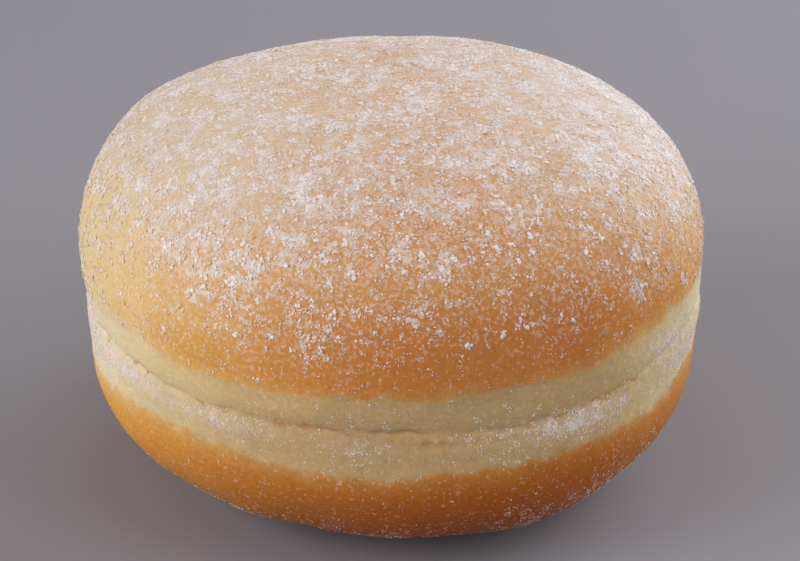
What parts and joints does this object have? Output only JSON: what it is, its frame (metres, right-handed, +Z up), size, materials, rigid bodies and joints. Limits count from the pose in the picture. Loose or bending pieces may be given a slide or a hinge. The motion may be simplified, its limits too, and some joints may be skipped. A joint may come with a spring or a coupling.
{
  "type": "jelly filled doughnut",
  "caption": "Ball-shaped filled doughnut with a pale creased belt between a browned crown and base, dusted with granulated sugar.",
  "frame": {"origin": "centre of the bounding box at its bottom, in the plane that the doughnut rests on", "axes": "+Z up through the crown, -Y towards the side whose crust and belt show in the picture"},
  "size_m": [0.0876, 0.0888, 0.055],
  "materials": {
    "crust": "satin",
    "sugar": "satin"
  },
  "bodies": {
    "root": {"doughnut": "crust"}
  },
  "joints": []
}
